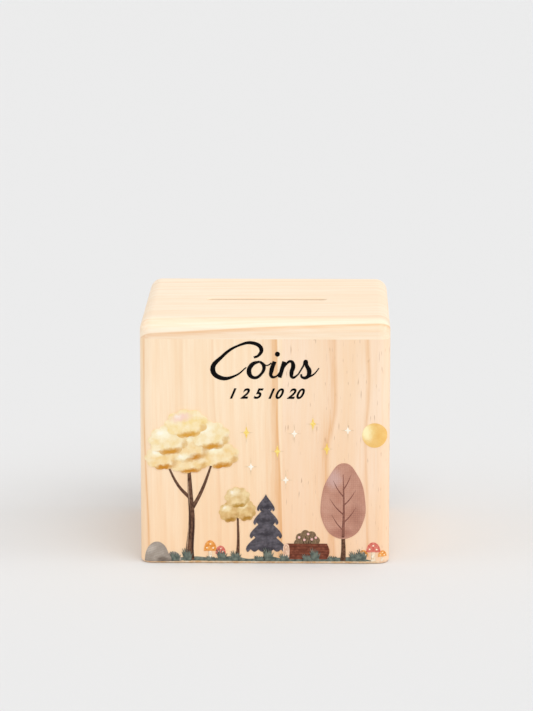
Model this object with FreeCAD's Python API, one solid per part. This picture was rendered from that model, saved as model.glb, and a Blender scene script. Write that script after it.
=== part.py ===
"""Pine money box: a cube of edge-glued boards with a coin slot and a push-in stopper.

Everything is in millimetres.  The origin is the middle of the base on the table, +Z is up,
the decorated front faces -Y and +X is to the right of a person looking at that front.
"""
import FreeCAD, Part
import os

# --- driving dimensions -----------------------------------------------------------------

cube_side = 100.0           # width, depth and height over all
board_thick = 8.0           # planed pine boards
outer_round = 5.0           # roundover along the top edges and the upright edges
base_ease = 1.5             # lighter rounding where the walls stand on the table

# Each wall is cut from a panel of two glued staves.  These are the joints' places.
front_joint_x = 7.0
back_joint_x = -12.0
left_joint_y = 9.0
right_joint_y = -14.0

slot_long = 49.0            # coin slot, over its round ends
slot_wide = 4.5
slot_y = -3.5               # the slot's centre line, a little nearer the front
slot_ease = 0.5             # softened rim of the slot

panel_thick = 6.0           # bottom panel, glued in between the four walls
panel_recess = 3.0          # how far the panel sits above the table
hole_radius = 17.0          # emptying hole
hole_ease = 0.4

fit_clearance = 0.05        # stopper in its hole, on the radius
seat_gap = 0.1              # stopper's flange below the panel
flange_radius = 20.0
flange_thick = 1.9
flange_round = 0.7
dish_radius = 14.5          # shallow dish moulded in the flange's outside
dish_deep = 0.6
stopper_wall = 2.2
groove_deep = 0.45          # groove that the panel's edge sits in
groove_inset = 1.5          # from the panel's faces to the groove's ends
bead_tall = 3.5             # how far the stopper reaches above the panel
nose_taper = 1.1
tab_wide = 9.0              # pull tab on the flange's edge
tab_reach = 5.0
tab_nail_bevel = 0.9        # room for a fingernail behind the tab

# --- places worked out from them --------------------------------------------------------

half = cube_side / 2
inner_half = half - board_thick
wall_top = cube_side - board_thick
panel_low = panel_recess
panel_high = panel_recess + panel_thick


def slab(x_low, x_high, y_low, y_high, z_low, z_high):
    """A plain block between two corners."""
    corner = FreeCAD.Vector(x_low, y_low, z_low)
    return Part.makeBox(x_high - x_low, y_high - y_low, z_high - z_low, corner)


def edges_where(solid, test):
    """The solid's edges whose middle point passes the test."""
    return [edge for edge in solid.Edges if test(edge.CenterOfMass)]


def sanded_cube():
    """The cube's whole outside, with its roundovers, as one block that the boards are cut from."""
    cube = slab(-half, half, -half, half, 0, cube_side)
    uprights = edges_where(cube, lambda middle: abs(middle.z - half) < 1)
    cube = cube.makeFillet(outer_round, uprights)
    cube = cube.makeFillet(outer_round, edges_where(cube, lambda middle: middle.z > cube_side - 0.1))
    return cube.makeFillet(base_ease, edges_where(cube, lambda middle: middle.z < 0.1))


def round_slot(length, width, y_middle, z_low, z_high):
    """A tool body for a slot along X with round ends."""
    radius = width / 2
    run = length / 2 - radius
    tall = z_high - z_low
    middle = slab(-run, run, y_middle - radius, y_middle + radius, z_low, z_high)
    ends = [Part.makeCylinder(radius, tall, FreeCAD.Vector(x, y_middle, z_low)) for x in (-run, run)]
    return middle.multiFuse(ends).removeSplitter()


def top_board(outside):
    """The lid board, glued over all four walls, with the coin slot through it."""
    board = outside.common(slab(-half, half, -half, half, wall_top, cube_side))
    board = board.cut(round_slot(slot_long, slot_wide, slot_y, wall_top - 1, cube_side + 1))
    in_slot = slot_long / 2 + 1
    rim = edges_where(board, lambda middle: middle.z > cube_side - 0.1
                      and abs(middle.x) < in_slot and abs(middle.y - slot_y) < slot_wide)
    return board.makeFillet(slot_ease, rim)


def wall_staves(outside, name, x_span, y_span, joint_x=None, joint_y=None):
    """One wall's two staves, as named solids, parted at the glue joint."""
    if joint_x is not None:
        halves = {"left_stave": ((x_span[0], joint_x), y_span),
                  "right_stave": ((joint_x, x_span[1]), y_span)}
    else:
        halves = {"front_stave": (x_span, (y_span[0], joint_y)),
                  "rear_stave": (x_span, (joint_y, y_span[1]))}
    return {f"{name}_{part}": outside.common(slab(*x_part, *y_part, 0, wall_top))
            for part, (x_part, y_part) in halves.items()}


def bottom_panel():
    """The panel let in between the walls, with the round emptying hole."""
    panel = slab(-inner_half, inner_half, -inner_half, inner_half, panel_low, panel_high)
    panel = panel.cut(Part.makeCylinder(hole_radius, panel_thick + 2,
                                        FreeCAD.Vector(0, 0, panel_low - 1)))
    rims = edges_where(panel, lambda middle: abs(middle.x) < hole_radius + 1
                       and abs(middle.y) < hole_radius + 1
                       and abs(middle.z - panel_low - panel_thick / 2) > panel_thick / 2 - 0.1)
    return panel.makeFillet(hole_ease, rims)


def turned(points):
    """A solid turned about the Z axis from (radius, height) corners."""
    corners = [FreeCAD.Vector(radius, 0, height) for radius, height in points]
    outline = Part.makePolygon(corners + corners[:1])
    return Part.Face(outline).revolve(FreeCAD.Vector(0, 0, 0), FreeCAD.Vector(0, 0, 1), 360)


def closure_plug():
    """The soft stopper: a hollow barrel, a flange below the panel and a pull tab."""
    flange_high = panel_low - seat_gap
    flange_low = flange_high - flange_thick
    barrel = hole_radius - fit_clearance
    neck = barrel - groove_deep
    bore = barrel - stopper_wall
    nose = panel_high + bead_tall
    disc = Part.makeCylinder(flange_radius, flange_thick, FreeCAD.Vector(0, 0, flange_low))
    tab = tongue(flange_low)
    disc = disc.fuse(tab).removeSplitter()
    disc = disc.makeFillet(flange_round, edges_where(disc, lambda middle: middle.z < flange_low + 0.1))
    dish = Part.makeCone(dish_radius, dish_radius - dish_deep, dish_deep,
                         FreeCAD.Vector(0, 0, flange_low))
    cup = turned([
        (bore, flange_high), (barrel, flange_high),
        (barrel, panel_low + groove_inset - groove_deep), (neck, panel_low + groove_inset),
        (neck, panel_high - groove_inset), (barrel, panel_high - groove_inset + groove_deep),
        (barrel, nose - nose_taper), (barrel - nose_taper, nose), (bore, nose)])
    return disc.cut(dish).fuse(cup).removeSplitter()


def tongue(flange_low):
    """The pull tab on the flange's front edge, bevelled behind for a fingernail."""
    tip = flange_radius + tab_reach
    block = slab(-tab_wide / 2, tab_wide / 2, -tip, -flange_radius + 2,
                 flange_low, flange_low + flange_thick)
    corners = edges_where(block, lambda middle: abs(middle.x) > tab_wide / 2 - 0.1
                          and middle.y < -tip + 0.1)
    block = block.makeFillet(tab_wide / 3, corners)
    back = edges_where(block, lambda middle: middle.z > flange_low + flange_thick - 0.1
                       and middle.y < -tip + 0.1)
    return block.makeChamfer(tab_nail_bevel, back)


def money_box():
    """Every piece of the box by its node's name."""
    outside = sanded_cube()
    full = (-half, half)
    between = (-inner_half, inner_half)
    pieces = {"top_board": top_board(outside)}
    pieces.update(wall_staves(outside, "front", full, (-half, -inner_half), joint_x=front_joint_x))
    pieces.update(wall_staves(outside, "back", full, (inner_half, half), joint_x=back_joint_x))
    pieces.update(wall_staves(outside, "left", (-half, -inner_half), between, joint_y=left_joint_y))
    pieces.update(wall_staves(outside, "right", (inner_half, half), between, joint_y=right_joint_y))
    pieces["bottom_panel"] = bottom_panel()
    pieces["closure_plug"] = closure_plug()
    return pieces


os.makedirs("parts", exist_ok=True)
for node, shape in money_box().items():
    solids = shape.Solids
    print(f"{node}: {len(solids)} solid, {shape.Volume / 1000:.2f} cm3, valid {shape.isValid()}")
    shape.exportStep(f"parts/{node}.step")
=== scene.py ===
import math
import bpy
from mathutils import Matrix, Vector


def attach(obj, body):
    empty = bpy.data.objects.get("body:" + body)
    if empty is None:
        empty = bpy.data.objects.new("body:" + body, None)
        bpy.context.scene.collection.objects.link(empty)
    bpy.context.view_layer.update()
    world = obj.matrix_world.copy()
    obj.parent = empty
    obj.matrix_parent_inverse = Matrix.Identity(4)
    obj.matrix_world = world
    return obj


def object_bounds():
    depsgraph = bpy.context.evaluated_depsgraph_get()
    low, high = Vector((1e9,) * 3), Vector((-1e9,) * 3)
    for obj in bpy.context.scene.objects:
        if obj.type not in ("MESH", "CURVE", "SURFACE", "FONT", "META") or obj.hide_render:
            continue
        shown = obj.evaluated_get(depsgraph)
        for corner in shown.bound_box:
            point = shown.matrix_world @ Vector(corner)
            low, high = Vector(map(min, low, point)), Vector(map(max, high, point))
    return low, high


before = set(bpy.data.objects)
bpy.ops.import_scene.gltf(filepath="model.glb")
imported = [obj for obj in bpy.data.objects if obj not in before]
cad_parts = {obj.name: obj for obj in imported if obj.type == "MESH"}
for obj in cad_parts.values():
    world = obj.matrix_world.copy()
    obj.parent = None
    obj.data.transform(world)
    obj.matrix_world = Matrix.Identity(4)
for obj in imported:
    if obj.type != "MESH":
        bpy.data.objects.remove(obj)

cad_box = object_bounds()
MM = 0.001


# --- The camera ---------------------------------------------------------------------------
# A long lens stands a metre and a half off, nearly straight in front and a little above.
# It points just over the box's middle, so that the box sits low in the frame.

box_low, box_high = (Vector(corner) for corner in cad_box)
box_middle = (box_low + box_high) / 2
camera_away = 1.47           # metres
camera_turn = math.radians(0.97)
camera_rise = math.radians(12.0)
camera_lens = 179.8          # mm
camera_aim_offset = Vector((-0.2, 0, 25.7)) * MM

bpy.ops.object.select_all(action="DESELECT")
camera_place = box_middle + camera_away * Vector((
    math.sin(camera_turn) * math.cos(camera_rise),
    -math.cos(camera_turn) * math.cos(camera_rise),
    math.sin(camera_rise)))
camera_aim = box_middle + camera_aim_offset
bpy.ops.object.camera_add(location=camera_place)
camera = bpy.context.object
camera.rotation_euler = (camera_aim - camera_place).to_track_quat("-Z", "Y").to_euler()
camera.data.lens = camera_lens
bpy.context.scene.camera = camera


# --- The studio ---------------------------------------------------------------------------
# A pale matt table top that runs far behind the box, an even white sky all round, which is
# brighter to look at than it is as a light, and three wide soft lights: one high in front, a
# little to the right, a weaker one low on the right and the weakest low on the left.

sky_as_light, sky_as_seen = 0.66, 0.83
table_wide = 16.0            # metres


def linear(hex_colour):
    """A shader colour from an sRGB hex value such as "c8a070"."""
    shares = [int(hex_colour[i:i + 2], 16) / 255 for i in (0, 2, 4)]
    return (*[s / 12.92 if s <= 0.04045 else ((s + 0.055) / 1.055) ** 2.4 for s in shares], 1.0)


def add(tree, kind, inputs=None, **settings):
    """A new shader node, with its settings. Each input is linked to an output, or set to a value
    or to a hex colour."""
    node = tree.nodes.new("ShaderNode" + kind)
    for name, value in settings.items():
        setattr(node, name, value)
    for socket, value in (inputs or {}).items():
        if isinstance(value, bpy.types.NodeSocket):
            tree.links.new(value, node.inputs[socket])
        else:
            node.inputs[socket].default_value = linear(value) if isinstance(value, str) else value
    return node


def new_material(name):
    """An empty node material: its tree and its main shader, ready for colour and roughness."""
    material = bpy.data.materials.new(name)
    material.use_nodes = True
    return material, material.node_tree, material.node_tree.nodes["Principled BSDF"]


bpy.context.scene.view_settings.view_transform = "Standard"
sky = bpy.data.worlds.new("white studio")
bpy.context.scene.world = sky
sky.use_nodes = True
sky_light = sky.node_tree.nodes["Background"]
sky_light.inputs["Color"].default_value = linear("ffffff")
seen = add(sky.node_tree, "LightPath").outputs["Is Camera Ray"]
sky_strength = add(sky.node_tree, "MapRange", {"Value": seen, "To Min": sky_as_light,
                                               "To Max": sky_as_seen})
sky.node_tree.links.new(sky_strength.outputs[0], sky_light.inputs["Strength"])

bpy.ops.object.select_all(action="DESELECT")
bpy.ops.mesh.primitive_plane_add(size=table_wide, location=(0, 0, box_low.z))
table = bpy.context.object
table.name = "table"
matt_card, tree, shader = new_material("matt white card")
shader.inputs["Base Color"].default_value = linear("e3e3e3")
shader.inputs["Roughness"].default_value = 0.9
shader.inputs["Specular IOR Level"].default_value = 0.1
table.data.materials.append(matt_card)


def soft_light(name, turn, rise, wide, strength):
    """A distant soft light: degrees to the right of the front, degrees up, and its width in degrees."""
    bpy.ops.object.select_all(action="DESELECT")
    turn, rise = math.radians(turn), math.radians(rise)
    towards = Vector((math.sin(turn) * math.cos(rise), -math.cos(turn) * math.cos(rise), math.sin(rise)))
    bpy.ops.object.light_add(type="SUN", location=towards)
    light = bpy.context.object
    light.name = name
    light.data.angle = math.radians(wide)
    light.data.energy = strength
    light.rotation_euler = towards.to_track_quat("Z", "Y").to_euler()


soft_light("soft light high in front", 18, 53, 50, 1.1)
soft_light("soft light on the right", 80, 24, 40, 0.75)
soft_light("soft light on the left", -75, 24, 50, 0.45)


# --- The pine boards ----------------------------------------------------------------------
# Eight-millimetre boards glued up from staves of pale pine, planed and sanded, with no varnish.
# Each stave is cut from its own place in a log, so its year rings are worked out in the solid:
# they run as lines down a face and close into arcs on the rounded edges and the end grain.

MM_IN_A_METRE = 1000         # shader coordinates come in metres, and the patterns are in mm
MIX_FIRST, MIX_SECOND = 6, 7     # the colour inputs of a Mix node set to colours
MIX_RESULT = 2               # and its colour output

# the sizes of the wood's figures in mm: twice across the grain, then along it
drift_size = (22, 22, 55)
fibre_size = (0.8, 0.8, 14)  # bundles of fibres: a single one is far too fine to show
patch_size = (9, 9, 70)
band_size = (1.7, 1, 160)    # the faint streaks that follow the year rings
canal_size = (0.55, 0.55, 4.5)

ring_drift = 2.6             # mm, how far a ring wanders slowly along the board
ring_fray = 0.7              # mm, how far it frays from fibre to fibre
ring_stop = 0.35             # mm, in which dark latewood gives way to the next spring's wood
ring_dusk = 0.35             # a ring darkens slowly to this share, over all but this share of its width
ring_spare = 1.0             # mm of plain wood on the chart inside the first ring and outside the last
deep_from, deep_to = 70.0, 5.0   # mm above the table, where the staves deepen in colour
warm_wood, late_wood, deep_wood, canal_brown = "f4cd9f", "e4aa6c", "f4c790", "9c6a42"


def per_mm(size):
    """The scale that gives a pattern this size in mm along each axis."""
    return [1 / side for side in size]


def planed_pine(name, grain_turn, pith, rings, tilt=(0, 0), pale="fde7ca", pink=0.25, flecks=0.0,
                wobble=1.0, lower_deepening=0.28, seed=0.0):
    """Sanded pine: matt, with a faint sheen along the fibres. Grain_turn brings the grain onto Z.
    Pith is the log's centre line across the grain in mm, and each ring is (radius, width,
    strength): a year's dark latewood grows over width mm and stops short at radius."""
    material, tree, shader = new_material(name)
    place = add(tree, "TexCoord").outputs["Object"]
    wood = add(tree, "Mapping", {"Vector": place, "Rotation": grain_turn,
                                 "Scale": (MM_IN_A_METRE,) * 3}).outputs[0]
    centred = add(tree, "Mapping", {"Vector": wood, "Location": (-pith[0], -pith[1], 0),
                                    "Rotation": (math.radians(tilt[0]), math.radians(tilt[1]), 0)})
    across = add(tree, "VectorMath", {0: centred.outputs[0], 1: (1, 1, 0)}, operation="MULTIPLY")
    radius = add(tree, "VectorMath", {0: across.outputs[0]}, operation="LENGTH")

    # the rings wander: slowly along the board, and finely from fibre to fibre
    slow = add(tree, "Mapping", {"Vector": wood, "Location": (seed, 0, seed),
                                 "Scale": per_mm(drift_size)})
    drift = add(tree, "TexNoise", {"Vector": slow.outputs[0], "Scale": 1.0, "Detail": 1.0})
    fibre_place = add(tree, "Mapping", {"Vector": wood, "Location": (0, seed, 0),
                                        "Scale": per_mm(fibre_size)})
    fibres = add(tree, "TexNoise", {"Vector": fibre_place.outputs[0], "Scale": 1.0, "Detail": 3.0})
    drifted = add(tree, "Math", {0: drift.outputs["Fac"], 1: ring_drift * wobble,
                                  2: radius.outputs["Value"]}, operation="MULTIPLY_ADD")
    frayed = add(tree, "Math", {0: fibres.outputs["Fac"], 1: ring_fray * wobble,
                                 2: drifted.outputs[0]}, operation="MULTIPLY_ADD")
    middle = (ring_drift + ring_fray) * wobble / 2      # both noises average a half
    low = min(ring_radius - width for ring_radius, width, strength in rings) - ring_spare
    high = max(ring_radius for ring_radius, width, strength in rings) + ring_spare
    chart = add(tree, "MapRange", {"Value": frayed.outputs[0], "From Min": low + middle,
                                   "From Max": high + middle})
    ramp = add(tree, "ValToRGB", {"Fac": chart.outputs[0]})
    stops = ramp.color_ramp.elements
    stops[0].position, stops[0].color = 0.0, (0, 0, 0, 1)
    stops.remove(stops[1])
    for ring_radius, width, strength in rings:
        for at, value in ((ring_radius - width, 0.0),
                          (ring_radius - width * ring_dusk, strength * ring_dusk),
                          (ring_radius, strength), (ring_radius + ring_stop, 0.0)):
            stop = stops.new((at - low) / (high - low))
            stop.color = (value, value, value, 1)

    # broad patches of rosier and creamier wood, streaks over them, and then the latewood
    patch_place = add(tree, "Mapping", {"Vector": wood, "Location": (seed, seed, 0),
                                        "Scale": per_mm(patch_size)})
    patches = add(tree, "TexNoise", {"Vector": patch_place.outputs[0], "Scale": 1.0, "Detail": 2.0})
    patch_share = add(tree, "MapRange", {"Value": patches.outputs["Fac"], "From Min": 0.35,
                                         "From Max": 0.75, "To Max": pink})
    body = add(tree, "Mix", {0: patch_share.outputs[0], MIX_FIRST: pale, MIX_SECOND: warm_wood},
               data_type="RGBA")
    parts = add(tree, "SeparateXYZ", {"Vector": wood})
    year = add(tree, "CombineXYZ", {"X": drifted.outputs[0], "Z": parts.outputs["Z"]})
    band_place = add(tree, "Mapping", {"Vector": year.outputs[0], "Location": (seed, seed, 0),
                                       "Scale": per_mm(band_size)})
    bands = add(tree, "TexNoise", {"Vector": band_place.outputs[0], "Scale": 1.0, "Detail": 3.0})
    for noise, amount in ((bands, 0.4), (fibres, 0.28)):
        streak_share = add(tree, "MapRange", {"Value": noise.outputs["Fac"], "From Min": 0.4,
                                              "From Max": 0.75, "To Max": amount})
        body = add(tree, "Mix", {0: streak_share.outputs[0], MIX_FIRST: body.outputs[MIX_RESULT],
                                 MIX_SECOND: warm_wood}, data_type="RGBA")
    broken = add(tree, "MapRange", {"Value": fibres.outputs["Fac"], "From Min": 0.2,
                                    "From Max": 0.6, "To Min": 0.65, "To Max": 1.0})
    late_share = add(tree, "Math", {0: ramp.outputs["Color"], 1: broken.outputs[0]}, operation="MULTIPLY")
    colour = add(tree, "Mix", {0: late_share.outputs[0], MIX_FIRST: body.outputs[MIX_RESULT],
                               MIX_SECOND: late_wood}, data_type="RGBA")

    # the wood is a little deeper in colour towards the lower end of a stave
    deeper = add(tree, "MapRange", {"Value": parts.outputs["Z"], "From Min": deep_from,
                                    "From Max": deep_to, "To Max": lower_deepening})
    colour = add(tree, "Mix", {0: deeper.outputs[0], MIX_FIRST: colour.outputs[MIX_RESULT],
                               MIX_SECOND: deep_wood}, data_type="RGBA", blend_type="MULTIPLY")

    # short dark resin canals, drawn about twice as wide as real ones so that they show
    if flecks:
        canal_place = add(tree, "Mapping", {"Vector": wood, "Location": (seed, 2, 1),
                                            "Scale": per_mm(canal_size)})
        canals = add(tree, "TexNoise", {"Vector": canal_place.outputs[0], "Scale": 1.0, "Detail": 0.0})
        canal_share = add(tree, "MapRange", {"Value": canals.outputs["Fac"], "From Min": 0.74,
                                             "From Max": 0.86, "To Max": flecks})
        colour = add(tree, "Mix", {0: canal_share.outputs[0], MIX_FIRST: colour.outputs[MIX_RESULT],
                                   MIX_SECOND: canal_brown}, data_type="RGBA")
    tree.links.new(colour.outputs[MIX_RESULT], shader.inputs["Base Color"])

    rough = add(tree, "MapRange", {"Value": fibres.outputs["Fac"], "To Min": 0.5, "To Max": 0.66})
    tree.links.new(rough.outputs[0], shader.inputs["Roughness"])
    shader.inputs["Specular IOR Level"].default_value = 0.35
    bump = add(tree, "Bump", {"Height": fibres.outputs["Fac"], "Strength": 0.25, "Distance": 0.05 * MM})
    tree.links.new(bump.outputs[0], shader.inputs["Normal"])
    return material


def finish_node(node, material):
    """Gives a CAD node its material."""
    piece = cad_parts[node]
    if not piece.material_slots:
        piece.data.materials.append(material)
    for held in piece.material_slots:
        held.link = "OBJECT"
        held.material = material


# Each stave of a wall has its log's centre line, the lines that its rings draw on its outer face,
# as (place across the wall, width, strength), and its own wandering and colour.
wall_face = {"front": box_low.y / MM, "back": box_high.y / MM,
             "left": box_low.x / MM, "right": box_high.x / MM}
staves = [
    ("front_left_stave", (-75, 10), [(-48, 1.2, 0.7), (-30, 3.0, 0.16), (-17, 1.6, 0.18), (7.5, 7.0, 0.8)],
     {"tilt": (0, 2.0), "seed": 3.1, "pink": 0.2}),
    ("front_right_stave", (7, 25), [(26.6, 1.3, 0.6), (41.2, 0.8, 0.45), (50, 3, 0.2)],
     {"seed": 7.7, "pale": "fbe3cb", "pink": 0.4, "flecks": 0.6}),
    ("back_left_stave", (-70, -20), [(-44, 1.0, 0.7), (-35, 1.2, 0.5), (-24, 1.6, 0.7), (-13, 2.0, 0.5)],
     {"tilt": (0, -1.0), "seed": 11.3, "pink": 0.3}),
    ("back_right_stave", (16, -30), [(29, 2.2, 0.6), (37, 1.4, 0.7), (43, 1.2, 0.6), (48, 1.0, 0.7)],
     {"tilt": (1.5, 0), "seed": 17.9, "pink": 0.4, "flecks": 0.25}),
    ("left_front_stave", (20, -60), [(-34, 1.0, 0.6), (-22, 1.4, 0.5), (-8, 1.6, 0.7), (5, 1.6, 0.4)],
     {"tilt": (1.0, 0), "seed": 23.5, "pink": 0.35}),
    ("left_rear_stave", (25, 0), [(14, 3.0, 0.4), (24, 1.5, 0.7), (31, 1.2, 0.6), (37, 1.0, 0.7)],
     {"seed": 29.2, "pink": 0.25}),
    ("right_front_stave", (-30, -52), [(-36, 1.2, 0.5), (-27, 1.4, 0.7), (-18, 1.4, 0.6)],
     {"tilt": (-1.0, 0), "seed": 31.6, "pink": 0.3}),
    ("right_rear_stave", (-25, 55), [(-12, 1.6, 0.6), (4, 1.8, 0.5), (18, 1.4, 0.7), (30, 1.2, 0.5)],
     {"tilt": (1.5, 0), "seed": 37.4, "pink": 0.45, "flecks": 0.3})]


def wall_rings(wall, pith, lines):
    """The rings that draw these lines on a wall's outer face. A side wall's places run front to back."""
    rings = []
    for line, width, strength in lines:
        x, y = (wall_face[wall], line) if wall in ("left", "right") else (line, wall_face[wall])
        rings.append((math.hypot(x - pith[0], y - pith[1]), width, strength))
    return rings


for node, pith, lines, look in staves:
    rings = wall_rings(node.split("_")[0], pith, lines)
    finish_node(node, planed_pine("planed pine, " + node.replace("_", " "), (0, 0, 0), pith, rings, **look))

# The top board's grain runs from side to side. Its log's centre line lies far below and in front,
# so one dark ring comes out along its front rounding, climbing to the right, and its broad face
# shows only faint ones. Turned onto Z, its across-grain places are (-up, depth).
top_pith = (300, -300)
# the second ring, broad and faint, is partly painted shade: it dims the front rounding, where the soft light
# high in front falls strongest
top_rings_and_rounding_shade = [(468.5, 4.6, 0.62), (474.8, 5.4, 0.26), (484.0, 3.0, 0.1), (493.0, 2.6, 0.13),
             (503.0, 3.4, 0.1), (513.0, 3.0, 0.14), (524.0, 3.4, 0.18)]
finish_node("top_board", planed_pine("planed pine, top board", (0, -math.pi / 2, 0), top_pith, top_rings_and_rounding_shade,
                                     tilt=(0, 2.8), seed=41.8, pale="feedd6", pink=0.18, wobble=0.7,
                                     lower_deepening=0.0))


# --- The bottom panel ---------------------------------------------------------------------
# Six-millimetre birch plywood, let in between the walls, with a round hole to empty the box.
# Thin plies show as light and dark bands round the hole; the face has birch's fine pale figure.

ply_thick = 1.2              # mm
figure_size = (18, 1.6, 1.6)     # mm, the face's figure, longest along X


def sanded_plywood():
    """Sanded birch ply: matt and even, plies by height, and a fine figure along X."""
    material, tree, shader = new_material("sanded birch plywood")
    place = add(tree, "TexCoord").outputs["Object"]
    sized = add(tree, "Mapping", {"Vector": place, "Scale": (MM_IN_A_METRE,) * 3})
    height = add(tree, "SeparateXYZ", {"Vector": sized.outputs[0]})
    ply = add(tree, "Math", {0: height.outputs["Z"], 1: 2 * ply_thick}, operation="PINGPONG")
    dark_ply = add(tree, "MapRange", {"Value": ply.outputs[0], "From Min": ply_thick * 0.8,
                                      "From Max": ply_thick * 1.2, "To Max": 0.55})
    lain = add(tree, "Mapping", {"Vector": sized.outputs[0], "Scale": per_mm(figure_size)})
    figure = add(tree, "TexNoise", {"Vector": lain.outputs[0], "Scale": 1.0, "Detail": 4.0})
    face = add(tree, "Mix", {0: figure.outputs["Fac"], MIX_FIRST: "efd9b4", MIX_SECOND: "d9b98a"},
               data_type="RGBA")
    normal = add(tree, "TexCoord").outputs["Normal"]
    facing = add(tree, "SeparateXYZ", {"Vector": normal})
    edge = add(tree, "Math", {0: facing.outputs["Z"], 1: 2.0}, operation="POWER")
    edge_share = add(tree, "Math", {0: 1.0, 1: edge.outputs[0]}, operation="SUBTRACT")
    share = add(tree, "Math", {0: edge_share.outputs[0], 1: dark_ply.outputs[0]}, operation="MULTIPLY")
    colour = add(tree, "Mix", {0: share.outputs[0], MIX_FIRST: face.outputs[MIX_RESULT],
                               MIX_SECOND: "a97f50"}, data_type="RGBA")
    tree.links.new(colour.outputs[MIX_RESULT], shader.inputs["Base Color"])
    shader.inputs["Roughness"].default_value = 0.6
    bump = add(tree, "Bump", {"Height": figure.outputs["Fac"], "Strength": 0.2, "Distance": 0.05 * MM})
    tree.links.new(bump.outputs[0], shader.inputs["Normal"])
    return material


finish_node("bottom_panel", sanded_plywood())


# --- The stopper --------------------------------------------------------------------------
# One soft black PVC moulding: a hollow barrel that grips the hole, and a flange with a pull
# tab. Moulded PVC is matt, with a fine spark-eroded grain and a slight bloom of dust.

mould_grain = 0.35           # mm, coarser than a real mould's grain, so that it shows
bloom_wide = 11.11           # mm, the patches of dust


def moulded_pvc():
    """Soft black PVC with a fine moulded grain."""
    material, tree, shader = new_material("moulded soft PVC, black")
    place = add(tree, "TexCoord").outputs["Object"]
    sized = add(tree, "Mapping", {"Vector": place, "Scale": (MM_IN_A_METRE / mould_grain,) * 3})
    grain = add(tree, "TexNoise", {"Vector": sized.outputs[0], "Scale": 1.0, "Detail": 2.0})
    bloom_place = add(tree, "Mapping", {"Vector": place, "Scale": (MM_IN_A_METRE / bloom_wide,) * 3})
    bloom = add(tree, "TexNoise", {"Vector": bloom_place.outputs[0], "Scale": 1.0, "Detail": 3.0})
    colour = add(tree, "Mix", {0: bloom.outputs["Fac"], MIX_FIRST: "1b1b1d", MIX_SECOND: "2b2b2e"},
                 data_type="RGBA")
    tree.links.new(colour.outputs[MIX_RESULT], shader.inputs["Base Color"])
    rough = add(tree, "MapRange", {"Value": bloom.outputs["Fac"], "To Min": 0.42, "To Max": 0.62})
    tree.links.new(rough.outputs[0], shader.inputs["Roughness"])
    bump = add(tree, "Bump", {"Height": grain.outputs["Fac"], "Strength": 0.35, "Distance": 0.06 * MM})
    tree.links.new(bump.outputs[0], shader.inputs["Normal"])
    return material


finish_node("closure_plug", moulded_pvc())


# --- The print ----------------------------------------------------------------------------
# The picture is jetted straight onto the sanded wood in inks that a UV lamp cures, one colour
# over another, so every layer stands three hundredths of a millimetre above the one before.
# It is drawn in millimetres: across from the middle of the front, and up from the table.

ink_step = 0.03              # mm from one layer to the next, thicker than real ink so that they show
ink_thin = 0.01              # mm, half a flat patch's thickness, and how far the ink soaks in
brush_flat = 0.018           # how much a brush stroke is flattened
weld = 1e-7                  # metres, under which two points are one
side_round = 5.0             # mm, the box's rounded upright edges
foot_round = 1.5             # mm, its eased foot
side_start = box_high.x / MM - side_round
side_cuts = (0, 1, 2, 2.8, 3.5, 4.1, 4.6, 4.85)    # mm into a rounding, closer where it is steeper
foot_cuts = (foot_round, 1.0, 0.6, 0.3)      # mm above the table
steepest = 0.995             # the share of a rounding's radius past which it counts as upright


def as_mesh(curve, ink):
    """A drawn curve as a mesh of one ink, its doubled points welded and its faces turned outwards."""
    shape = bpy.data.objects.new("drawn", curve)
    bpy.context.collection.objects.link(shape)
    bpy.ops.object.select_all(action="DESELECT")
    shape.select_set(True)
    bpy.context.view_layer.objects.active = shape
    bpy.ops.object.convert(target="MESH")
    shape = bpy.context.object
    shape.data.materials.clear()
    shape.data.materials.append(ink)
    bpy.ops.object.mode_set(mode="EDIT")
    bpy.ops.mesh.select_all(action="SELECT")
    bpy.ops.mesh.remove_doubles(threshold=weld)
    bpy.ops.mesh.normals_make_consistent(inside=False)
    bpy.ops.object.mode_set(mode="OBJECT")
    return shape


def place_mesh(shape, turn=0.0, scale=(1, 1, 1), up=0.0):
    """Turns, flattens and lifts a shape, and works all three into its mesh."""
    shape.rotation_euler.x = turn
    shape.scale = scale
    shape.location.z = up * MM
    bpy.ops.object.transform_apply(location=True, rotation=True, scale=True)
    return shape


def patch(ink, points, corners=()):
    """A flat patch of ink inside a smooth closed line of (across, up); corners stay sharp."""
    curve = bpy.data.curves.new("patch", "CURVE")
    curve.dimensions = "2D"
    curve.fill_mode = "BOTH"
    curve.extrude = ink_thin * MM
    curve.resolution_u = 8
    spline = curve.splines.new("BEZIER")
    spline.bezier_points.add(len(points) - 1)
    spline.use_cyclic_u = True
    for index, (across, up) in enumerate(points):
        knot = spline.bezier_points[index]
        knot.co = (across * MM, up * MM, 0)
        knot.handle_left_type = knot.handle_right_type = "VECTOR" if index in corners else "AUTO"
    return place_mesh(as_mesh(curve, ink), turn=math.pi / 2)


def spot(ink, across, up, wide, tall, lean=0.0):
    """An oval patch of these half sizes, leaning to the left by some degrees."""
    cos, sin = math.cos(math.radians(lean)), math.sin(math.radians(lean))
    ends = [(wide, 0), (0, tall), (-wide, 0), (0, -tall)]
    return patch(ink, [(across + x * cos - z * sin, up + x * sin + z * cos) for x, z in ends])


def stroke(ink, *points):
    """A brush stroke through (across, up, half width), domed and nearly flat."""
    curve = bpy.data.curves.new("stroke", "CURVE")
    curve.dimensions = "3D"
    curve.bevel_depth = MM
    curve.bevel_resolution = 1
    curve.resolution_u = 5
    curve.use_fill_caps = True
    spline = curve.splines.new("BEZIER")
    spline.bezier_points.add(len(points) - 1)
    for knot, (across, up, half_wide) in zip(spline.bezier_points, points):
        knot.co = (across * MM, 0, up * MM)
        knot.radius = half_wide
        knot.handle_left_type = knot.handle_right_type = "AUTO"
    return place_mesh(as_mesh(curve, ink), scale=(1, brush_flat, 1))


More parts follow.
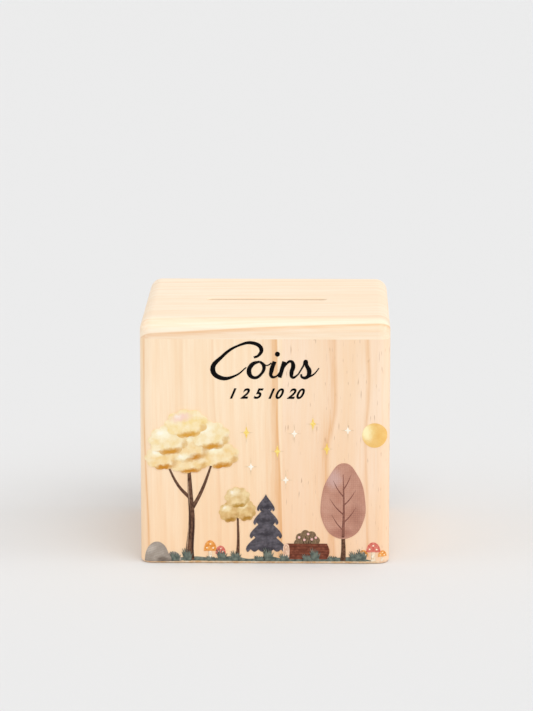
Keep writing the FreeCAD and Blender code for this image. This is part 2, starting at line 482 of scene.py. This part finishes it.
def rounding(place, start, radius):
    """The sine of a rounding's slope at a place, and how far its surface has fallen back there."""
    past = min(max(place - start, 0.0), radius * steepest)
    return past / radius, radius - math.sqrt(radius ** 2 - past ** 2)


def printed(name, first_level, *layers):
    """Lays the layers of shapes on the front, undermost first, joins them as one printed motif,
    and bends it back over the rounded edges. Every shape is solid down to the wood."""
    for level, shapes in enumerate(layers, first_level):
        for shape in shapes:
            for vertex in shape.data.vertices:
                face = level * ink_step - vertex.co.y / MM if vertex.co.y <= 0 else -ink_thin
                vertex.co.y = -face * MM
    shapes = [shape for layer in layers for shape in layer]
    bpy.ops.object.select_all(action="DESELECT")
    for shape in shapes:
        shape.select_set(True)
    bpy.context.view_layer.objects.active = shapes[0]
    bpy.ops.object.join()
    motif = bpy.context.object
    motif.name = name
    motif.data.name = name

    bpy.ops.object.mode_set(mode="EDIT")
    cuts = [((side * (side_start + step) * MM, 0, 0), (1, 0, 0))
            for side in (-1, 1) for step in side_cuts]
    cuts += [((0, 0, up * MM), (0, 0, 1)) for up in foot_cuts]
    for through, facing in cuts:
        bpy.ops.mesh.select_all(action="SELECT")
        bpy.ops.mesh.bisect(plane_co=through, plane_no=facing)
    bpy.ops.object.mode_set(mode="OBJECT")
    for vertex in motif.data.vertices:
        thick = -vertex.co.y
        sine, side_back = rounding(abs(vertex.co.x) / MM, side_start, side_round)
        foot_back = rounding(foot_round - vertex.co.z / MM, 0.0, foot_round)[1]
        vertex.co.y = box_low.y + (side_back + foot_back) * MM - thick * math.sqrt(1 - sine ** 2)
        vertex.co.x += math.copysign(thick * sine, vertex.co.x)
    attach(motif, "box")


wander_reach = 2.6           # mm, how far a wash's ragged edge wanders
wander_wide = 1 / 0.7        # mm, from one wander to the next
dot_grain = 1 / 2.4          # mm, the specks that the jets and the wood leave, coarser than real ones
WAVE_BARS = 20 / math.tau    # bars per unit that Blender's wave texture draws at a scale of one


def uv_ink(name, deep, light, blotch=2.5, washes=(), weave=0.0, stripes=None, gloss=0.2):
    """Cured ink, a satin skin that pools in two shades. Each wash is a soft oval of another
    colour: (across, up, half width, half height, lean to the left in degrees, colour, strength).
    Stripes are (spacing in mm, lean, colour, strength), and weave is the spacing of linen threads."""
    material, tree, shader = new_material("UV-printed ink, " + name)
    place = add(tree, "TexCoord").outputs["Object"]
    sized = add(tree, "Mapping", {"Vector": place, "Scale": (MM_IN_A_METRE, 0, MM_IN_A_METRE)}).outputs[0]
    pooled = add(tree, "TexNoise", {"Vector": sized, "Scale": 1 / blotch, "Detail": 3.0})
    pool_share = add(tree, "MapRange", {"Value": pooled.outputs["Fac"], "From Min": 0.35, "From Max": 0.65})
    colour = add(tree, "Mix", {0: pool_share.outputs[0], MIX_FIRST: deep, MIX_SECOND: light},
                 data_type="RGBA")
    ragged = add(tree, "TexNoise", {"Vector": sized, "Scale": 1 / wander_wide, "Detail": 4.0,
                                    "Roughness": 0.6})
    wander = add(tree, "VectorMath", {0: ragged.outputs["Color"], 1: (wander_reach, 0, wander_reach),
                                      2: sized}, operation="MULTIPLY_ADD")
    settled = add(tree, "VectorMath", {0: wander.outputs[0], 1: (wander_reach / 2, 0, wander_reach / 2)},
                  operation="SUBTRACT")
    for across, up, wide, tall, lean, shade, strength in washes:
        oval = add(tree, "Mapping", {"Vector": settled.outputs[0], "Location": (across, 0, up),
                                     "Rotation": (0, math.radians(-lean), 0), "Scale": (wide, 1, tall)},
                   vector_type="TEXTURE")
        away = add(tree, "VectorMath", {0: oval.outputs[0]}, operation="LENGTH")
        share = add(tree, "MapRange", {"Value": away.outputs["Value"], "From Min": 0.2, "From Max": 1.15,
                                       "To Min": strength, "To Max": 0.0}, interpolation_type="SMOOTHSTEP")
        colour = add(tree, "Mix", {0: share.outputs[0], MIX_FIRST: colour.outputs[MIX_RESULT],
                                   MIX_SECOND: shade}, data_type="RGBA")
    if stripes:
        spacing, lean, shade, strength = stripes
        laid = add(tree, "Mapping", {"Vector": sized, "Rotation": (0, math.radians(lean), 0)})
        bars = add(tree, "TexWave", {"Vector": laid.outputs[0], "Scale": 1 / WAVE_BARS / spacing,
                                     "Distortion": 3.0, "Detail": 2.0, "Detail Scale": 2.0},
                   bands_direction="Z")
        share = add(tree, "Math", {0: bars.outputs["Fac"], 1: strength}, operation="MULTIPLY")
        colour = add(tree, "Mix", {0: share.outputs[0], MIX_FIRST: colour.outputs[MIX_RESULT],
                                   MIX_SECOND: shade}, data_type="RGBA")
    grain = add(tree, "TexNoise", {"Vector": sized, "Scale": 1 / dot_grain, "Detail": 2.0})
    if weave:
        parts = add(tree, "SeparateXYZ", {"Vector": sized})
        for axis in ("X", "Z"):
            thread = add(tree, "Math", {0: parts.outputs[axis], 1: math.tau / weave}, operation="MULTIPLY")
            wave = add(tree, "Math", {0: thread.outputs[0]}, operation="SINE")
            slack = add(tree, "Math", {0: wave.outputs[0], 1: grain.outputs["Fac"]}, operation="MULTIPLY")
            share = add(tree, "MapRange", {"Value": slack.outputs[0], "From Min": 0.1, "From Max": 0.6,
                                           "To Max": 0.16})
            colour = add(tree, "Mix", {0: share.outputs[0], MIX_FIRST: colour.outputs[MIX_RESULT],
                                       MIX_SECOND: "ffffff"}, data_type="RGBA", blend_type="SOFT_LIGHT")
    speckle = add(tree, "MapRange", {"Value": grain.outputs["Fac"], "To Min": 0.25})
    colour = add(tree, "Mix", {0: 0.22, MIX_FIRST: colour.outputs[MIX_RESULT],
                               MIX_SECOND: speckle.outputs[0]}, data_type="RGBA", blend_type="OVERLAY")
    tree.links.new(colour.outputs[MIX_RESULT], shader.inputs["Base Color"])
    shader.inputs["Roughness"].default_value = 0.55
    shader.inputs["Specular IOR Level"].default_value = gloss
    bump = add(tree, "Bump", {"Height": grain.outputs["Fac"], "Strength": 0.15, "Distance": 0.02 * MM})
    tree.links.new(bump.outputs[0], shader.inputs["Normal"])
    return material


# --- The print: the ground ----------------------------------------------------------------
# A strip of peach and ochre wash along the foot of the front, with two grey stones and a lying
# log on it.

earth = uv_ink("peach and ochre earth", "f3c896", "fde6c8", blotch=1.4, washes=[
    (x, 0.9, 3.0, 1.0, 0, "d08c40", 0.5) for x in range(-42, 48, 15)])
stone_grey = uv_ink("grey stone", "968b81", "aba095", blotch=3.0, washes=[
    (-46.0, 6.0, 2.6, 2.2, 20, "c2b8ae", 0.8), (-41.0, 1.6, 3.4, 1.6, 0, "5d5046", 0.8),
    (-36.6, 1.2, 2.6, 1.0, 0, "5d5046", 0.7)], stripes=(0.9, 20, "8b7f74", 0.3))
log_bark = uv_ink("red-brown log", "64301f", "8c4f3a", blotch=1.6, stripes=(1.1, 0, "4a2318", 0.45))
log_wood = uv_ink("sawn log end", "e0b294", "f2d2ba", blotch=1.0)
log_ring = uv_ink("log ring", "b07c58", "c8987a", blotch=0.8)
log_low, log_high = 2.0, 8.4
log_left, log_right = 8.6, 25.0
log_up = (log_low + log_high) / 2
log_half = (log_high - log_low) / 2


def dome(ink, across, up, wide, tall):
    """A rounded heap with a flat foot."""
    rise = [(wide * math.cos(turn), tall * math.sin(turn))
            for turn in (math.pi * step / 6 for step in range(7))]
    return patch(ink, [(across + x, up + z) for x, z in rise], corners=(0, 6))


def ring_line(share):
    """A year ring on the log's sawn end, at a share of its size."""
    turns = [math.tau * step / 12 for step in range(11)]
    return stroke(log_ring, *[(log_left + share * math.cos(turn), log_up + share * log_half * math.sin(turn),
                               0.1) for turn in turns])


foot_edge = [(x, 1.5 + 0.3 * math.sin(1.9 * x)) for x in range(-44, 47, 6)]
printed("print_ground", 1, [patch(earth, foot_edge + [(46.0, 0.2), (-44.0, 0.2)], corners=(0, 15, 16, 17))])
printed("print_stones", 3,
        [dome(stone_grey, -36.8, 0.9, 3.2, 4.0)],
        [dome(stone_grey, -43.4, 0.8, 5.0, 8.2)])
printed("print_log", 6,
        [patch(log_bark, [(log_left, log_high), (log_right, log_high), (log_right + 1.0, log_up),
                          (log_right, log_low), (log_left, log_low)], corners=(0, 1, 3, 4))],
        [spot(log_wood, log_left, log_up, 1.3, log_half)],
        [ring_line(share) for share in (0.35, 0.8)])


# --- The print: the golden tree -----------------------------------------------------------
# A brown trunk that forks twice, under clumps of leaves in watercolour yellows: pale and rosy on
# top, ochre underneath, where a wash pools and dries darker.

bark = uv_ink("brown bark", "44291b", "755440", blotch=1.1)
dark_bark = uv_ink("dark bark", "2c1912", "45291e", blotch=0.8)
pale_bark = uv_ink("pale bark", "a08066", "c4a68c", blotch=0.8)


def cloud(ink, across, up, wide, tall, lobes=9):
    """An oval clump with rounded lobes all round, a little uneven."""
    points = []
    for step in range(4 * lobes):
        turn = math.tau * step / (4 * lobes)
        out = 0.9 + 0.12 * abs(math.sin(lobes * turn / 2)) + 0.03 * math.sin(2 * turn + across)
        points.append((across + out * wide * math.cos(turn), up + out * tall * math.sin(turn)))
    return patch(ink, points, corners=range(0, 4 * lobes, 4))


def leaf_clumps(name, deep, light, glow, pool, *clumps):
    """Clumps of one ink, each (across, up, half width, half height), glowing on top and pooled
    underneath."""
    washes = []
    for across, up, wide, tall in clumps:
        washes += [(across - 0.25 * wide, up + 0.45 * tall, 0.6 * wide, 0.4 * tall, 12, glow, 0.9),
                   (across + 0.1 * wide, up - 0.78 * tall, 0.85 * wide, 0.3 * tall, 8, pool, 1.0),
                   (across + 0.78 * wide, up - 0.3 * tall, 0.22 * wide, 0.5 * tall, -15, pool, 0.55),
                   (across - 0.4 * wide, up + 0.5 * tall, 0.2 * wide, 0.2 * tall, 0, "fffdf6", 0.45)]
    ink = uv_ink(name, deep, light, blotch=3.0, washes=washes)
    return [[cloud(ink, *clump)] for clump in clumps]


tree_x = -30.0
printed("print_golden_tree", 3,
        [stroke(bark, (tree_x - 0.6, 1.6, 2.5), (tree_x - 0.2, 7.0, 1.7), (tree_x + 0.6, 18.0, 1.4),
                (tree_x, 30.0, 1.1), (tree_x - 0.6, 44.0, 0.5)),
         stroke(bark, (tree_x + 0.4, 22.0, 0.9), (tree_x + 4.6, 30.0, 0.75), (tree_x + 9.0, 42.0, 0.4)),
         stroke(bark, (tree_x, 27.0, 0.8), (tree_x - 4.6, 32.0, 0.65), (tree_x - 9.6, 42.0, 0.35))],
        [stroke(dark_bark, (tree_x + 1.2, 2.2, 0.2), (tree_x + 1.0, 8.0, 0.4), (tree_x + 1.4, 19.0, 0.25)),
         stroke(dark_bark, (tree_x - 0.6, 10.0, 0.1), (tree_x, 17.0, 0.28), (tree_x - 0.4, 25.0, 0.1)),
         stroke(pale_bark, (tree_x - 1.6, 3.0, 0.1), (tree_x - 1.1, 9.0, 0.24), (tree_x - 0.6, 16.0, 0.08)),
         stroke(pale_bark, (tree_x - 0.2, 24.0, 0.06), (tree_x - 0.6, 30.0, 0.2),
                (tree_x - 0.8, 34.0, 0.06))],
        *leaf_clumps("low crown", "f0cd90", "f8e3b8", "fbf3d0", "c48228", (-30.0, 48.4, 8.0, 6.0),
                     (-41.4, 43.4, 6.6, 4.8), (-18.0, 44.6, 7.6, 5.4), (-30.6, 41.8, 7.8, 4.6)),
        *leaf_clumps("middle crown", "f2d8a0", "faecc8", "fdf6da", "cc8e34",
                     (-38.6, 50.8, 8.2, 6.0), (-21.8, 52.8, 8.0, 5.8)),
        *leaf_clumps("high crown", "f4d896", "fae8c0", "f5cfbe", "d49a40", (-31.4, 57.6, 8.6, 5.8)))


# --- The print: the smaller trees ---------------------------------------------------------
# A tan sapling, a charcoal fir in four tiers, a brown bush, and a tall oval tree in a rosy brown
# that shows a linen weave, with its branches drawn on it.

fir_grey = uv_ink("charcoal fir", "474349", "67626a", blotch=1.8, washes=[
    (0.4, up, 5.0, 1.1, 0, "2e2b31", 0.8) for up in (6.2, 12.2, 18.0, 23.4)],
    stripes=(1.3, 8, "35313a", 0.3))
bush_brown = uv_ink("brown bush", "6b5640", "93795c", blotch=0.9, stripes=(0.8, 70, "4a3927", 0.3))
bush_berry = uv_ink("pink berries", "e8a4a0", "f6cdc6", blotch=0.8)
rosy_crown = uv_ink("rosy crown, linen weave", "b17f6c", "bf8f7c", blotch=4.5, weave=0.85, washes=[
    (27.6, 35.0, 4.0, 5.0, 0, "c9a49c", 0.8), (36.8, 20.0, 3.0, 8.0, 0, "9f6d5c", 0.7),
    (31.0, 13.0, 6.0, 2.6, 0, "9a6455", 0.7)])
rosy_line = uv_ink("dark rosy line", "76493e", "8f5f50", blotch=0.9)
sapling_x, fir_x, oval_x, bush_x = -11.0, 0.4, 31.4, 17.0
oval_up = 26.0               # mm, the middle of the oval crown

printed("print_sapling", 3,
        [stroke(bark, (sapling_x, 1.6, 0.9), (sapling_x + 0.3, 10.0, 0.6), (sapling_x, 22.0, 0.4))],
        *leaf_clumps("sapling leaves", "cfa468", "e8c890", "f6e2b4", "a87a30",
                     (sapling_x - 3.4, 21.2, 4.2, 4.0), (sapling_x + 3.2, 22.0, 4.4, 4.2)),
        *leaf_clumps("sapling tip", "d8b27a", "eed3a0", "f8e8c2", "b08638", (sapling_x, 27.4, 5.0, 4.4)))


def fir_tier(low, tall, wide):
    """One tier of a fir: a peak over five drooping scallops."""
    foot = [(wide * (1 - share / 5), low + (0.0 if share % 2 == 0 else 0.9)) for share in range(11)]
    return patch(fir_grey, [(fir_x, low + tall)] + [(fir_x + x, z) for x, z in foot],
                 corners=range(0, 12, 2))


printed("print_fir", 3,
        [stroke(dark_bark, (fir_x, 1.4, 1.0), (fir_x, 6.0, 0.9))],
        *[[fir_tier(5.0 + 5.6 * tier, 9.6 - 0.9 * tier, 7.6 - 1.5 * tier)] for tier in range(4)])
printed("print_bush", 3,
        [cloud(bush_brown, bush_x, 8.4, 5.4, 5.4)],
        [stroke(dark_bark, (bush_x, 5.0, 0.2), (bush_x + 1.4 * lean, 8.8, 0.14),
                (bush_x + 3.0 * lean, 11.8, 0.05)) for lean in (-1, -0.3, 0.4, 1)],
        [spot(bush_berry, bush_x + x, up, 0.5, 0.5)
         for x, up in ((-3.2, 11.0), (0.4, 12.4), (3.5, 10.9), (-1.1, 10.0), (1.9, 10.2))])

# the oval crown is egg-shaped, wider low down
egg = [(0.4, 15.6), (5.8, 10.6), (8.8, 0.6), (8.2, -8.2), (3.6, -14.6),
       (-3.2, -14.8), (-8.0, -9.0), (-8.9, -0.4), (-5.6, 10.2)]
branches = [(14.0, -4.6), (17.0, 5.2), (20.6, -5.4), (24.0, 5.0), (28.0, -4.0), (30.6, 3.2)]
printed("print_oval_tree", 3,
        [stroke(bark, (oval_x, 1.4, 1.3), (oval_x + 0.2, 6.0, 1.0), (oval_x, 13.0, 0.8))],
        [patch(rosy_crown, [(oval_x + x, oval_up + up) for x, up in egg])],
        [stroke(rosy_line, (oval_x, 11.0, 0.7), (oval_x + 0.3, 22.0, 0.45), (oval_x, 37.0, 0.12))]
        + [stroke(rosy_line, (oval_x, low, 0.32), (oval_x + 0.5 * reach, low + 2.6, 0.24),
                  (oval_x + reach, low + 6.4, 0.06)) for low, reach in branches])


# --- The print: the toadstools and the grass ----------------------------------------------
# Plain round caps with pale specks, and fans of grey-green blades along the whole foot.

stem_cream = uv_ink("cream stem", "e6c8a0", "fff4e2", blotch=0.9)
cap_red = uv_ink("red cap", "c8584a", "e08878", blotch=0.8)
cap_orange = uv_ink("orange cap", "d9802c", "f2ad62", blotch=1.0)
speck_cream = uv_ink("cream speck", "f6e6c2", "fff8e6", blotch=0.8)
grass = uv_ink("grey-green grass", "4c5650", "788075", blotch=1.6)


def toadstool(name, cap_ink, across, tall, wide):
    """A stem, a domed cap over it and three specks on the cap."""
    cap_low = 0.55 * tall
    printed(name, 3,
            [stroke(stem_cream, (across, 1.2, 0.32 * wide), (across, cap_low + 0.5, 0.24 * wide))],
            [dome(cap_ink, across, cap_low, wide, tall - cap_low)],
            [spot(speck_cream, across + x * wide, cap_low + share * (tall - cap_low),
                  0.13 * wide, 0.11 * wide) for x, share in ((-0.5, 0.3), (0.02, 0.66), (0.46, 0.28))])


for count, (cap_ink, across, tall, wide) in enumerate([
        (cap_red, 43.6, 9.0, 2.9), (cap_orange, 47.2, 5.6, 1.7), (cap_orange, 39.6, 5.8, 2.0),
        (cap_red, -17.8, 7.4, 2.1), (cap_orange, -22.0, 9.6, 2.6)], 1):
    toadstool(f"print_toadstool_{count}", cap_ink, across, tall, wide)


def tuft(ink, across, up, tall, spread, blades):
    """A fan of grass blades from one root, longest in the middle."""
    drawn = []
    for blade in range(blades):
        share = 2 * blade / (blades - 1) - 1
        reach = tall * (1.0 - 0.45 * share * share) * (0.82 + 0.18 * math.cos(7.0 * blade))
        tip = across + spread * share + 0.4 * math.sin(5.0 * blade)
        root = across + 0.45 * spread * share
        drawn.append(stroke(ink, (root, up, 0.45), (root + 0.35 * (tip - root), up + 0.55 * reach, 0.38),
                            (tip, up + reach, 0.05)))
    return drawn


verge = [(x, 2.6 + 0.6 * math.sin(1.3 * x)) for x in range(-34, 43, 7)]
printed("print_verge", 2, [patch(grass, [(-38.0, 1.3)] + verge + [(44.0, 1.2), (3.0, 1.0)], corners=(0, 12))])
printed("print_grass", 9,
        [blade for clump in range(13)
         for blade in tuft(grass, -36.0 + 6.4 * clump + 1.9 * math.sin(4.1 * clump), 1.2,
                           5.0 + 2.4 * math.sin(2.3 * clump), 2.3, 8)])


# --- The print: the sun and the stars -----------------------------------------------------
# A plain gold disc near the right edge, and thin four-pointed stars with gold or white hearts.

sun_gold = uv_ink("sun gold", "ebb766", "f0c278", blotch=4.0, washes=[
    (40.6, 54.4, 3.0, 5.0, 8, "fdf0ba", 1.0), (43.0, 55.0, 2.0, 4.0, 8, "f5d790", 0.5)])
ray_brown = uv_ink("pale brown ray", "cdb28c", "dfc8a4", blotch=0.8)
heart_gold = uv_ink("gold heart", "f3bf55", "fae58a", blotch=0.9)
heart_white = uv_ink("white heart", "fbf0d8", "fffdf6", blotch=0.8)


def star(ink, across, up, wide, tall, waist):
    """Four points joined by hollow sides, as half sizes."""
    outer = [(wide, 0), (0, tall), (-wide, 0), (0, -tall)]
    inner = [(waist, waist), (-waist, waist), (-waist, -waist), (waist, -waist)]
    points = [(across + x, up + z) for pair in zip(outer, inner) for x, z in pair]
    return patch(ink, points, corners=range(8))


gold_places = [(-7.4, 54.0), (5.0, 46.4), (19.2, 57.6), (24.8, 47.4)]
white_places = [(-5.6, 40.0), (8.4, 34.6), (11.8, 53.6), (33.2, 55.0)]
printed("print_sun", 3, [spot(sun_gold, 43.9, 53.0, 5.0, 5.0)])
printed("print_stars", 2,
        [star(ray_brown, x, z, 2.6, 4.0, 0.14) for x, z in gold_places + white_places],
        [star(heart_gold, x, z, 1.3, 2.6, 0.55) for x, z in gold_places]
        + [star(heart_white, x, z, 1.3, 1.6, 0.42) for x, z in white_places])


# --- The print: the lettering -------------------------------------------------------------
# A plain word for what goes in the box, in a flowing hand of thick and thin strokes, and a row
# of coin values below it in slanted type, thickened a little, all in solid black.

letter_black = uv_ink("lettering black", "050505", "0c0b0c", blotch=2.0, gloss=0.06)
printed("print_word", 2,
        [stroke(letter_black, (-4.4, 84.6, 0.5), (-2.6, 85.4, 0.6), (-1.4, 88.0, 0.95), (-4.4, 90.4, 0.8),
                (-10.6, 89.4, 0.5), (-17.2, 84.8, 0.75), (-20.8, 79.6, 1.2), (-17.6, 76.3, 1.0),
                (-11.6, 77.3, 0.45), (-7.4, 80.6, 0.25))],
        [stroke(letter_black, (-2.0, 83.0, 0.45), (-5.0, 81.8, 0.95), (-6.3, 78.4, 1.1), (-4.3, 76.4, 0.7),
                (-1.4, 78.0, 0.6), (-0.4, 81.2, 0.85), (-2.0, 83.0, 0.5)),
         stroke(letter_black, (-1.0, 82.4, 0.3), (0.8, 81.4, 0.25), (2.6, 82.4, 0.3)),
         stroke(letter_black, (3.9, 83.0, 0.9), (2.7, 79.6, 1.0), (2.7, 76.9, 0.7), (4.4, 76.9, 0.4),
                (6.4, 79.4, 0.28)),
         spot(letter_black, 5.0, 86.0, 1.0, 1.0),
         stroke(letter_black, (7.7, 83.0, 0.9), (6.8, 79.8, 0.95), (5.9, 76.5, 0.85)),
         stroke(letter_black, (6.4, 78.2, 0.35), (8.4, 81.8, 0.45), (10.4, 83.1, 0.65), (11.3, 81.4, 1.0),
                (10.6, 78.4, 0.95), (11.0, 76.6, 0.65), (12.8, 77.4, 0.35), (14.6, 79.8, 0.28)),
         stroke(letter_black, (13.6, 78.4, 0.3), (15.4, 81.4, 0.4), (16.3, 83.4, 0.5), (16.6, 81.6, 0.85),
                (17.7, 79.0, 1.1), (16.8, 76.7, 0.8), (14.8, 76.7, 0.55), (14.4, 77.9, 0.4)),
         stroke(letter_black, (17.0, 76.7, 0.55), (19.4, 77.8, 0.35), (21.6, 80.4, 0.22))])

numeral_tall = 4.0           # mm
numeral_share = 0.7          # a numeral's height as a share of its type size
numeral_up = 68.0            # mm
numeral_slant = 0.42
numeral_gap = 1.12
numeral_bold = 0.17          # mm added all round
bpy.ops.object.select_all(action="DESELECT")
bpy.ops.object.text_add()
numerals = bpy.context.object
numerals.data.body = "1 2 5 10 20"
numerals.data.align_x = "CENTER"
numerals.data.size = numeral_tall * MM / numeral_share
numerals.data.shear = numeral_slant
numerals.data.space_character = numeral_gap
numerals.data.offset = numeral_bold * MM
numerals.data.extrude = ink_thin * MM
bpy.ops.object.convert(target="MESH")
numerals = bpy.context.object
numerals.data.materials.append(letter_black)
place_mesh(numerals, turn=math.pi / 2, up=numeral_up)
printed("print_numerals", 2, [numerals])
